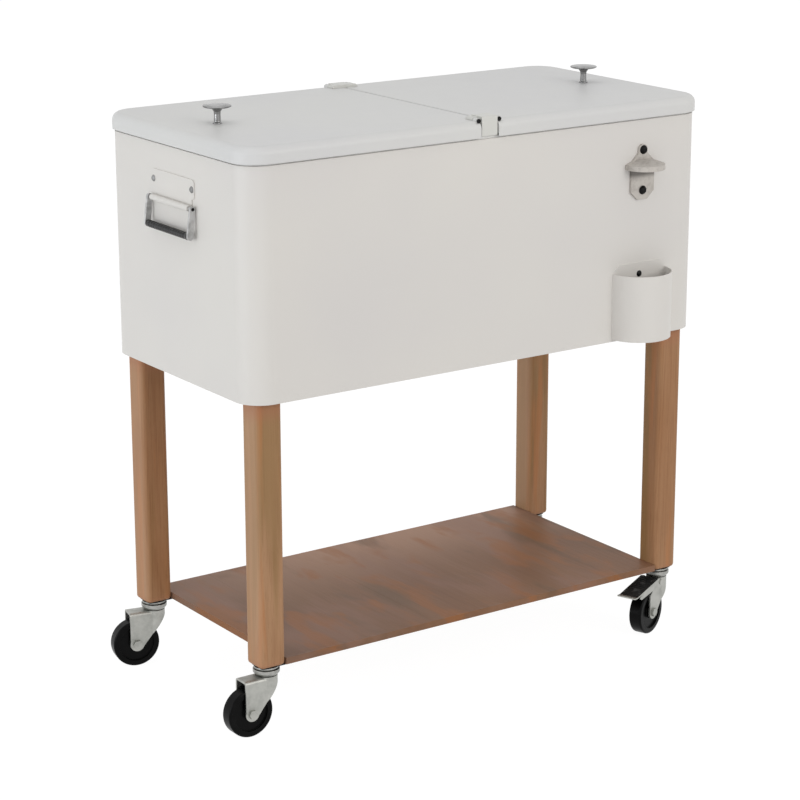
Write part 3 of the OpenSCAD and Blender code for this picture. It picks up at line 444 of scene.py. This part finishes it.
for side in ("left", "right"):
    body = side + "_lid"
    sheet = solids_of(side + "_lid_skin")
    lo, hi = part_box(side + "_lid_skin")
    seam = hi.x if side == "left" else lo.x
    break_edges(sheet, SEAM_ROUND, steps=4, angle=60.0, where=lambda edge: all(
        v.co.z > hi.z - TOP_BAND and abs(v.co.x - seam) < NEAR for v in edge.verts))
    break_edges(sheet, 0.0004, angle=50.0)
    piece(side + "_lid_sheet", sheet, shaded_lid_coat, body, "cream_paint", side + "_lid_skin")
    softened(side + "_lid_filling", side + "_lid_foam", poured_foam, body, "foam",
             edge=0.0005)
    underside = solids_of(side + "_lid_liner")
    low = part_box(side + "_lid_liner")[0].z
    break_edges(underside, PLUG_ROUND, steps=4, angle=60.0,
                where=lambda edge: level_at(edge, low))
    break_edges(underside, 0.0004, angle=50.0)
    piece(side + "_lid_underside", underside, tank_plastic, body, "tank_plastic",
          side + "_lid_liner")
    lo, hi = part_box(side + "_lid_gasket")
    gasket = bmesh.new()
    swept(gasket, [(point + Vector((0, 0, lo.z)), out) for point, out in rounded_rectangle(
        lo.x + GASKET_HALF, hi.x - GASKET_HALF, lo.y + GASKET_HALF, hi.y - GASKET_HALF,
        GASKET_CORNER)], gasket_section(GASKET_HALF, hi.z - lo.z))
    piece(side + "_gasket", gasket, gasket_rubber, body, "gasket_rubber",
          side + "_lid_gasket")

# ---------------------------------------------------------------------------------
# Knobs: turned steel mushrooms, polished and chromed. Each stands on its lid, held by
# a bolt that comes up through the foam from below.

KNOB_BORE, KNOB_FOOT, KNOB_STEM = 0.00305, 0.0066, 0.0046
KNOB_EASING = 0.0016
STRAIGHT = 0.05  # a corner that turns less than this, in radians, stays as it is


def metal(name, base, dull, rough, scratches=300.0, relief=0.06):
    place = begin(name)
    cloud = noise(place, 60.0, detail=4.0, roughness=0.6)
    scratch = noise(place, scratches, roughness=0.6)
    color = cloud.between(0.35, 0.75).blend(base, dull)
    color = (edge_mask(place) * 0.5).blend(color, base)
    return finish(place, color, rough + cloud * 0.1 + scratch * 0.05, scratch, relief, 0.0002,
                  metallic=1.0)


chrome = metal("chrome", grey(148), grey(112), rough=0.18, scratches=700.0, relief=0.03)
zinc = metal("zinc", tone(175, 175, 170), tone(155, 156, 151), rough=0.38)


def eased(profile, radius, steps=5):
    """The profile with its inner corners rounded."""
    points = [Vector(p) for p in profile]
    made = [points[0]]
    for before, corner, after in zip(points, points[1:], points[2:]):
        a, b = before - corner, after - corner
        turn = math.pi - a.angle(b)
        if turn < STRAIGHT:
            made.append(corner)
            continue
        cut = min(radius * math.tan(turn / 2), a.length * 0.45, b.length * 0.45)
        start, end = corner + a.normalized() * cut, corner + b.normalized() * cut
        for i in range(steps + 1):
            t = i / steps
            made.append(start * (1 - t) ** 2 + corner * (2 * t * (1 - t)) + end * t * t)
    return made + [points[-1]]


def turned(bm, profile, place, axis=(0, 0, 1), steps=96):
    """Turns a profile, as (radius, height) pairs, about an axis through place."""
    turn = Vector(axis).normalized().to_track_quat("Z", "Y").to_matrix()
    rings = []
    for radius, height in profile:
        if radius == 0:
            rings.append([bm.verts.new(Vector(place) + turn @ Vector((0, 0, height)))] * steps)
            continue
        rings.append([bm.verts.new(Vector(place) + turn @ Vector((
            radius * math.cos(math.tau * i / steps), radius * math.sin(math.tau * i / steps),
            height))) for i in range(steps)])
    for lower, upper in zip(rings, rings[1:]):
        for i in range(steps):
            j = (i + 1) % steps
            corners = []
            for vert in (lower[i], lower[j], upper[j], upper[i]):
                if vert not in corners:
                    corners.append(vert)
            if len(corners) > 2:
                bm.faces.new(corners)


for side in ("left", "right"):
    lo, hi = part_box(side + "_knob")
    rim, tall = (hi.x - lo.x) / 2, hi.z - lo.z
    centre = Vector(((lo.x + hi.x) / 2, (lo.y + hi.y) / 2, lo.z))
    knob = bmesh.new()
    # foot and stem, flare, underside of the cap, rim and crown
    turned(knob, eased([
        (KNOB_BORE, 0.0), (KNOB_FOOT, 0.0), (KNOB_FOOT, 0.0016), (0.0049, 0.0024),
        (KNOB_STEM, tall * 0.5), (0.0050, tall - 0.0100), (0.0082, tall - 0.0056),
        (rim - 0.0030, tall - 0.0042), (rim - 0.0004, tall - 0.0032), (rim, tall - 0.0023),
        (rim - 0.0006, tall - 0.0013), (rim * 0.62, tall - 0.0004), (0.0, tall)],
        KNOB_EASING), centre)
    piece(side + "_mushroom_knob", knob, chrome, side + "_lid", "chrome", side + "_knob")
    softened(side + "_bolt", side + "_knob_bolt", zinc, side + "_lid", "zinc", edge=0.0004)

# ---------------------------------------------------------------------------------
# Legs: square oiled hardwood, planed, with well rounded long edges and the grain
# running up the leg. Steel brackets hold them to the base panel.

LEG_END_ROUND, LEG_EDGE = 0.0050, 0.0010
BORE_REACH = 0.015  # the bore for the caster's stem lies nearer to the leg's middle
REDDER_TOP, REDDER_FOOT = (0.455, 0.485), (0.096, 0.116)
CORNERS = ("front_left", "front_right", "back_left", "back_right")
SIDE_LIGHT = (1.0, 0.0, 0.9, 1.3)  # painted light on each leg's faces that look left and right; none on the front right leg, whose side is in shade
LEG_STREAKS = ((34.0, 0.42, 0.62, 0.60, tone(136, 106, 64)),
               (52.0, 0.50, 0.66, 0.50, tone(180, 116, 68)))


def oiled_wood(name, along, light, mid, dark, tint, seed, grain):
    """Straight-grained wood: slow figure, fine fibres and short dark pores."""
    start = begin(name)
    place = start.node("VectorMath", {"operation": "ADD"}, {0: start, 1: (seed, seed, seed)})

    def grained(scale, squeeze, detail, warp=0.0):
        stretch = [1.0, 1.0, 1.0]
        stretch[along] = squeeze
        return noise(place, scale, detail, 0.55, stretch, warp)

    wave = grained(30.0, 0.055, 2.0, warp=0.6) * 46.0
    rings = wave.math("SINE", wave) * 0.5 + 0.5
    fibres = grained(700.0, 0.012, 4.0)
    pores = grained(1500.0, 0.03, 1.0).between(0.60, 0.70)
    patches = grained(9.0, 0.25, 2.0).between(0.32, 0.7)
    color = (patches * 0.85).blend(light, mid)
    color = (rings * fibres.between(0.25, 0.75) * (0.42 * grain)).blend(color, dark)
    color = (fibres.between(0.45, 0.8) * (0.30 * grain)).blend(color, dark)
    color = (pores * (0.35 * grain)).blend(color, dark)
    color = tint(start, color)
    color = (edge_mask(start) * 0.30).blend(color, light)
    return finish(start, color, 0.42 + fibres * 0.2, fibres * 0.6 + pores * -0.5, 0.28, 0.0004,
                  fixed={"Coat Weight": 0.04, "Coat Roughness": 0.3,
                         "Specular IOR Level": 0.25})


def banded(place, color):
    """Broad streaks up the leg, olive and rusty, painted light that makes the faces looking
    left and right paler, and a redder tone near its two ends."""
    for scale, low, high, share, streak in LEG_STREAKS:
        band = noise(place, scale, detail=2.0, stretch=(1.0, 1.0, 0.06), warp=0.3)
        color = (band.between(low, high) * share).blend(color, streak)
    # Painted light: the faces that look left and right are paler, as if lit from the side.
    color = (place.marked("painted_side_light") * 0.45).blend(color, tone(196, 158, 128))
    height = place.along(2)
    ends = height.between(*REDDER_TOP) + (1 - height.between(*REDDER_FOOT))
    return (ends * 0.45).blend(color, tone(172, 112, 84))


leg_wood = oiled_wood("leg_wood", along=2, light=tone(174, 134, 99), mid=tone(154, 108, 71),
                      dark=tone(112, 68, 37), tint=banded, seed=0.0, grain=0.7)
dark_steel = blackened("dark_steel", grey(30), grey(70))
for corner, side_light in zip(CORNERS, SIDE_LIGHT):
    leg = solids_of(corner + "_leg")
    lo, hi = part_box(corner + "_leg")
    middle = (lo + hi) / 2
    break_edges(leg, LEG_END_ROUND, steps=4, angle=60.0, where=lambda edge: all(
        v.co.z < lo.z + NEAR
        and max(abs(v.co.x - middle.x), abs(v.co.y - middle.y)) > BORE_REACH
        for v in edge.verts))
    break_edges(leg, LEG_EDGE, angle=60.0)
    # Painted light: how much paler each face that looks left or right is painted, by each
    # leg's share.
    painted_side_light = leg.faces.layers.float.new("painted_side_light")
    leg.normal_update()
    for face in leg.faces:
        face[painted_side_light] = side_light * min(1.0, max(0.0, abs(face.normal.x) - 0.3))
    piece(corner + "_post", leg, leg_wood, "cabinet", "leg_wood", corner + "_leg")
softened("brackets", "leg_brackets", dark_steel, "cabinet", "dark_steel", edge=0.0004)
softened("bracket_bolts", "leg_bolts", zinc, "cabinet", "zinc", edge=0.0004)

# ---------------------------------------------------------------------------------
# Shelf: boards of the same wood laid front to back and glued edge to edge with a fine
# line at each joint, on dark steel corner plates.

BOARDS = 8
JOINT_HALF = 0.00005
UNEVEN = 0.00015  # the most that a board lies low
PAINTED_LIGHT_BACK, PAINTED_SHADE_LEFT = (-0.02, 0.22), (-0.36, 0.0)
SHELF_STAINS = ((9.0, 0.44, 0.62, 0.60, tone(144, 109, 92)),
                (13.0, 0.50, 0.66, 0.55, tone(104, 82, 62)),
                (17.0, 0.50, 0.64, 0.60, tone(154, 98, 54)))
chance = random.Random(7)
shelf_lo, shelf_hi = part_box("shelf")
pitch = (shelf_hi.x - shelf_lo.x) / BOARDS


def toned_stained_and_shaded(place, color):
    """Each board has a tone of its own, with painted light paler at the back and painted shade
    darker to the left, under greyish, dark and rusty stains."""
    across = place.along(0)
    board = place.math("FLOOR", (across - shelf_lo.x) * (1 / pitch))
    pick = place.node("TexWhiteNoise", {"noise_dimensions": "1D"}, {"W": board + 3.0})
    color = (pick * 0.3).blend(color, tone(118, 86, 66))
    # Painted light towards the back and painted shade towards the left.
    color = (place.along(1).between(*PAINTED_LIGHT_BACK) * 0.8).blend(color, tone(182, 144, 120))
    color = ((1 - across.between(*PAINTED_SHADE_LEFT)) * 0.60).blend(color, tone(108, 84, 68))
    for scale, low, high, share, stain in SHELF_STAINS:
        patch = noise(place, scale, roughness=0.55, stretch=(1.0, 0.36, 1.0), warp=0.4)
        color = (patch.between(low, high) * share).blend(color, stain)
    return color


shelf_wood = oiled_wood("shelf_wood", along=1, light=tone(140, 102, 73),
                        mid=tone(125, 88, 62), dark=tone(98, 68, 50), tint=toned_stained_and_shaded,
                        seed=0.37, grain=0.4)
shelf = bmesh.new()
for i in range(BOARDS):
    x0 = shelf_lo.x + i * pitch + (JOINT_HALF if i else 0)
    x1 = shelf_lo.x + (i + 1) * pitch - (JOINT_HALF if i < BOARDS - 1 else 0)
    v = [shelf.verts.new((x, y, z))
         for z in (shelf_lo.z, shelf_hi.z - chance.uniform(0, UNEVEN))
         for x, y in ((x0, shelf_lo.y), (x1, shelf_lo.y), (x1, shelf_hi.y),
                      (x0, shelf_hi.y))]
    for face in ((0, 3, 2, 1), (4, 5, 6, 7), (0, 1, 5, 4), (1, 2, 6, 5), (2, 3, 7, 6),
                 (3, 0, 4, 7)):
        shelf.faces.new([v[k] for k in face])
break_edges(shelf, 0.0004)
piece("shelf_boards", shelf, shelf_wood, "cabinet", "shelf_wood", "shelf")
softened("shelf_plates", "corner_plates", dark_steel, "cabinet", "dark_steel", edge=0.0004)
softened("shelf_screws", "plate_screws", dark_steel, "cabinet", "dark_steel", edge=0.0002)

# ---------------------------------------------------------------------------------
# Side handles: a painted plate with a rolled barrel on two screws, a chromed bail
# that swings in the barrel, and a black moulded grip on its rod.

ARM, ARM_EDGE = 0.0042, 0.0013
PIVOT_END, GRIP_END = 0.0040, 0.0048  # the arm's radius at its two ends
PIVOT_OUT, PIVOT_DOWN = 0.0055, 0.005
GRIP_OUT, GRIP_UP = 0.010, 0.006
PIVOT_ROD, GRIP_ROD = 0.00244, 0.003
ROD_BITE = 0.001  # how far the rods run into the arms
RIVET_HEAD = ((0.0, -0.0005), (0.0024, -0.0005), (0.0024, 0.0002), (0.0017, 0.0007),
              (0.0, 0.0009))
GRIP_BORE, GRIP_OVERLAP, GRIP_ROUND, GRIP_PLAIN = 0.0031, 0.0035, 0.0007, 0.006
RIDGES, RIDGE_DEPTH, RIDGE_CROWN = 15, 0.0010, 0.0002
bail_chrome = metal("bail_chrome", grey(204), grey(150), rough=0.40, scratches=500.0,
                    relief=0.1)


def flat_bar(bm, first, second, r1, r2, y0, y1, steps=16):
    """A bar from y0 to y1 whose outline runs round two circles in the XZ plane."""
    run = second - first
    turn, open_angle = math.atan2(run.z, run.x), math.acos((r1 - r2) / run.length)
    outline = []
    for centre, radius, start, sweep in (
            (first, r1, turn + open_angle, math.tau - 2 * open_angle),
            (second, r2, turn - open_angle, 2 * open_angle)):
        for i in range(steps + 1):
            a = start + sweep * i / steps
            outline.append((centre.x + radius * math.cos(a), centre.z + radius * math.sin(a)))
    rings = [[bm.verts.new((x, y, z)) for x, z in outline] for y in (y0, y1)]
    bm.faces.new(rings[0])
    bm.faces.new(rings[1][::-1])
    for i in range(len(outline)):
        j = (i + 1) % len(outline)
        bm.faces.new((rings[0][i], rings[1][i], rings[1][j], rings[0][j]))


def ridged(half, thick):
    """The grip's profile: round ridges between two plain ends."""
    profile = [(GRIP_BORE, -half), (thick - GRIP_ROUND, -half), (thick, -half + GRIP_ROUND),
               (thick, -half + 0.004)]
    step = (2 * half - 2 * GRIP_PLAIN) / RIDGES
    for i in range(RIDGES):
        y = -half + GRIP_PLAIN + i * step
        profile += [(thick - RIDGE_DEPTH, y + step * 0.20),
                    (thick - RIDGE_DEPTH, y + step * 0.40),
                    (thick - RIDGE_CROWN, y + step * 0.58), (thick, y + step * 0.77),
                    (thick - RIDGE_CROWN, y + step * 0.98)]
    return profile + [(thick, half - GRIP_ROUND), (thick - GRIP_ROUND, half),
                      (GRIP_BORE, half)]


for side, wall, out in (("left", shell_lo.x, -1), ("right", shell_hi.x, 1)):
    softened(side + "_plate", side + "_handle_plate", cream_coat, "cabinet", "cream_paint",
             edge=0.0009, steps=3)
    lo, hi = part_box(side + "_bail")
    middle = (lo.y + hi.y) / 2
    pivot = Vector((wall + out * PIVOT_OUT, middle, hi.z - PIVOT_DOWN))
    low = Vector((wall + out * GRIP_OUT, middle, lo.z + GRIP_UP))
    bail, rivets = bmesh.new(), bmesh.new()
    for end, face in ((lo.y, -1), (hi.y, 1)):
        flat_bar(bail, pivot, low, PIVOT_END, GRIP_END, end, end - face * ARM)
        turned(rivets, RIVET_HEAD, Vector((pivot.x, end, pivot.z)), (0, face, 0), steps=32)
    break_edges(bail, ARM_EDGE, steps=4, angle=50.0)
    reach = hi.y - middle - ARM + ROD_BITE
    for place, radius in ((pivot, PIVOT_ROD), (low, GRIP_ROD)):
        turned(bail, [(0.0, -reach), (radius, -reach), (radius, reach), (0.0, reach)], place,
               (0, 1, 0), steps=40)
    piece(side + "_arms", bail, bail_chrome, side + "_handle", "chrome", side + "_bail")
    piece(side + "_pivot_heads", rivets, black_oxide, side + "_handle", "chrome")
    lo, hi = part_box(side + "_grip")
    grip = bmesh.new()
    turned(grip, ridged((hi.y - lo.y) / 2 + GRIP_OVERLAP, (hi.x - lo.x) / 2), (lo + hi) / 2,
           (0, 1, 0), steps=48)
    piece(side + "_handgrip", grip, grip_black, side + "_handle", "grip_plastic",
          side + "_grip")
screw_grey = metal("screw_grey", grey(150), grey(130), rough=0.5)
softened("plate_fixings", "handle_screws", screw_grey, "cabinet", "zinc", edge=0.0004)

# ---------------------------------------------------------------------------------
# Bottle opener: one zinc casting with a hood over the mouth, left as cast and tumbled,
# on two black button-head screws. The cap catcher below it is folded painted sheet.

# painted shadow under the hood: down from the casting's top, and out from its back
SHADOW_FOOT, SHADOW_ROOF, SHADOW_FRONT = (-0.052, -0.043), (-0.0375, -0.0355), (0.005, 0.010)
opener_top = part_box("bottle_opener")[1]

place = begin("cast_zinc")
sand = noise(place, 520.0, detail=4.0, roughness=0.6)
down = place.along(2) - opener_top.z
from_wall = opener_top.y - place.along(1)
painted_shadow = (down.between(*SHADOW_FOOT) * (1 - down.between(*SHADOW_ROOF))
          * (1 - from_wall.between(*SHADOW_FRONT)))
skin = noise(place, 40.0, detail=4.0).blend(tone(201, 196, 190), tone(178, 173, 167))
skin = (noise(place, 150.0).between(0.45, 0.7) * 0.4).blend(skin, tone(150, 144, 138))
# Painted shadow: the plate under the hood is darkened.
skin = (painted_shadow * 0.75).blend(skin, tone(84, 80, 76))
cast_zinc = finish(place, skin, 0.5 + sand * 0.2, sand, 0.35, 0.0005, metallic=0.45)
softened("opener_casting", "bottle_opener", cast_zinc, "cabinet", "cast_zinc", edge=0.0010,
         steps=3)
softened("opener_fixings", "opener_screws", black_oxide, "cabinet", "dark_steel", edge=0.0005)
softened("catcher_cup", "cap_catcher", cream_coat, "cabinet", "cream_paint", edge=0.0004)
softened("catcher_fixing", "catcher_screw", black_oxide, "cabinet", "dark_steel", edge=0.0005)

# ---------------------------------------------------------------------------------
# Casters: zinc-plated pressed forks that swivel on a ring of balls under a riveted
# cup, hard black wheels on bolts, and a foot brake on both right-hand casters.

CASTER_TURNS = {"front_right": 201.0, "back_right": 190.0}
TREAD_TOP, TREAD_LOW = Vector((0.021, 0, 0.0883)), Vector((0.088, 0, 0.0768))
TREAD_HALF, TREAD_BELOW, TREAD_OVER = 0.0162, 0.0026, 0.0010
RIBS, RIB_START, RIB_PITCH = 11, 0.004, 0.0056
# the section of a rib down the tread: distance along it, height over it, half length
RIB_SECTION = ((0, -0.0002, 0.0135), (0.0026, -0.0002, 0.0135), (0.0020, 0.0006, 0.0131),
               (0.0006, 0.0006, 0.0131))

wheel_black = moulded_black("wheel_black", grey(4), grey(26), rough=0.30, shine=0.08)
pedal_steel = blackened("pedal_steel", grey(40), grey(120))
ball_chrome = metal("ball_chrome", grey(200), grey(180), rough=0.06)
# The forks' zinc again, painted darker on the cups and stems for the shade under the legs.
shaded_cup_zinc = metal("shaded_cup_zinc", tone(166, 166, 162), tone(124, 125, 122), rough=0.30,
                 scratches=90.0)
softened("cups_and_stems", "caster_stems", shaded_cup_zinc, "cabinet", "zinc", edge=0.0006, steps=3)
piece("ball_rings", solids_of("swivel_balls"), ball_chrome, "cabinet", "chrome",
      "swivel_balls")
for corner in CORNERS:
    softened(corner + "_pressing", corner + "_fork", zinc, corner + "_caster", "zinc",
             edge=0.0009, steps=3)
    softened(corner + "_bolt", corner + "_axle", zinc, corner + "_caster", "zinc",
             edge=0.0005)
    softened(corner + "_tyre", corner + "_wheel", wheel_black, corner + "_wheel",
             "wheel_plastic", edge=0.0006)

slope = (TREAD_LOW - TREAD_TOP).normalized()
lift = Vector((-slope.z, 0, slope.x))
for corner, turn in CASTER_TURNS.items():
    lo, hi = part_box(corner + "_leg")
    hub = Vector(((lo.x + hi.x) / 2, (lo.y + hi.y) / 2, 0))
    back = Vector((math.cos(math.radians(turn)), math.sin(math.radians(turn)), 0))
    across = Vector((-back.y, back.x, 0))
    pedal = solids_of(corner + "_brake_pedal")
    break_edges(pedal, 0.0004)
    for face in pedal.faces:
        place = face.calc_center_median() - hub
        over = (Vector((place.dot(back), 0, place.z)) - TREAD_TOP).dot(lift)
        if abs(place.dot(across)) < TREAD_HALF and -TREAD_BELOW < over < TREAD_OVER:
            face.material_index = 1
    for i in range(RIBS):
        start = TREAD_TOP + slope * (RIB_START + RIB_PITCH * i)
        corners = []
        for run, rise, half in RIB_SECTION:
            at = start + slope * run + lift * rise
            corners.append([pedal.verts.new(hub + back * at.x + across * s * half
                                            + Vector((0, 0, at.z))) for s in (-1, 1)])
        faces = [[c[0] for c in corners], [c[1] for c in reversed(corners)]]
        faces += [[a[1], a[0], b[0], b[1]] for a, b in zip(corners, corners[1:] + corners[:1])]
        for rib in faces:
            pedal.faces.new(rib).material_index = 1
    made = piece(corner + "_brake", pedal, zinc, corner + "_brake", "pedal_steel",
                 corner + "_brake_pedal")
    made.data.materials.append(pedal_steel)
